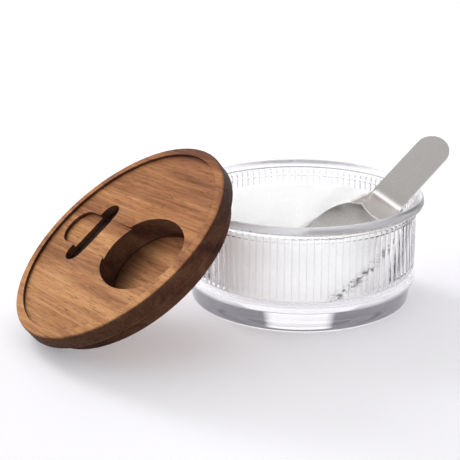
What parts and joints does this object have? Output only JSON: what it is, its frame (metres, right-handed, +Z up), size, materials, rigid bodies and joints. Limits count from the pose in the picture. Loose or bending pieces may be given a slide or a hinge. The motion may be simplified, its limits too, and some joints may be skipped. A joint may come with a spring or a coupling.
{
  "type": "spice jar",
  "caption": "Low round glass jar with a ribbed wall and thick rim, filled with salt, its turned wooden lid leaning on the rim and a small steel scoop standing in the salt.",
  "frame": {"origin": "centre of the flat base that the glass jar stands on, at table height", "axes": "+Z up the jar's axis, +X to the jar's right away from the leaning lid, +Y to the back, away from the person in front"},
  "size_m": [0.1831, 0.1409, 0.0691],
  "materials": {
    "clear_glass": "gloss",
    "salt": "matte",
    "dark_wood": "satin",
    "brushed_steel": "satin"
  },
  "bodies": {
    "jar": {"glass_jar": "clear_glass", "salt": "salt"},
    "lid": {"wooden_lid": "dark_wood"},
    "scoop": {"steel_scoop": "brushed_steel"}
  },
  "joints": [
    {"name": "lid_lift", "type": "slide", "parent": "jar", "child": "lid", "axis": [0, 0, 1], "range_m": [0, 0.08]},
    {"name": "scoop_lift", "type": "slide", "parent": "jar", "child": "scoop", "axis": [0, 0, 1], "range_m": [0, 0.07]}
  ]
}
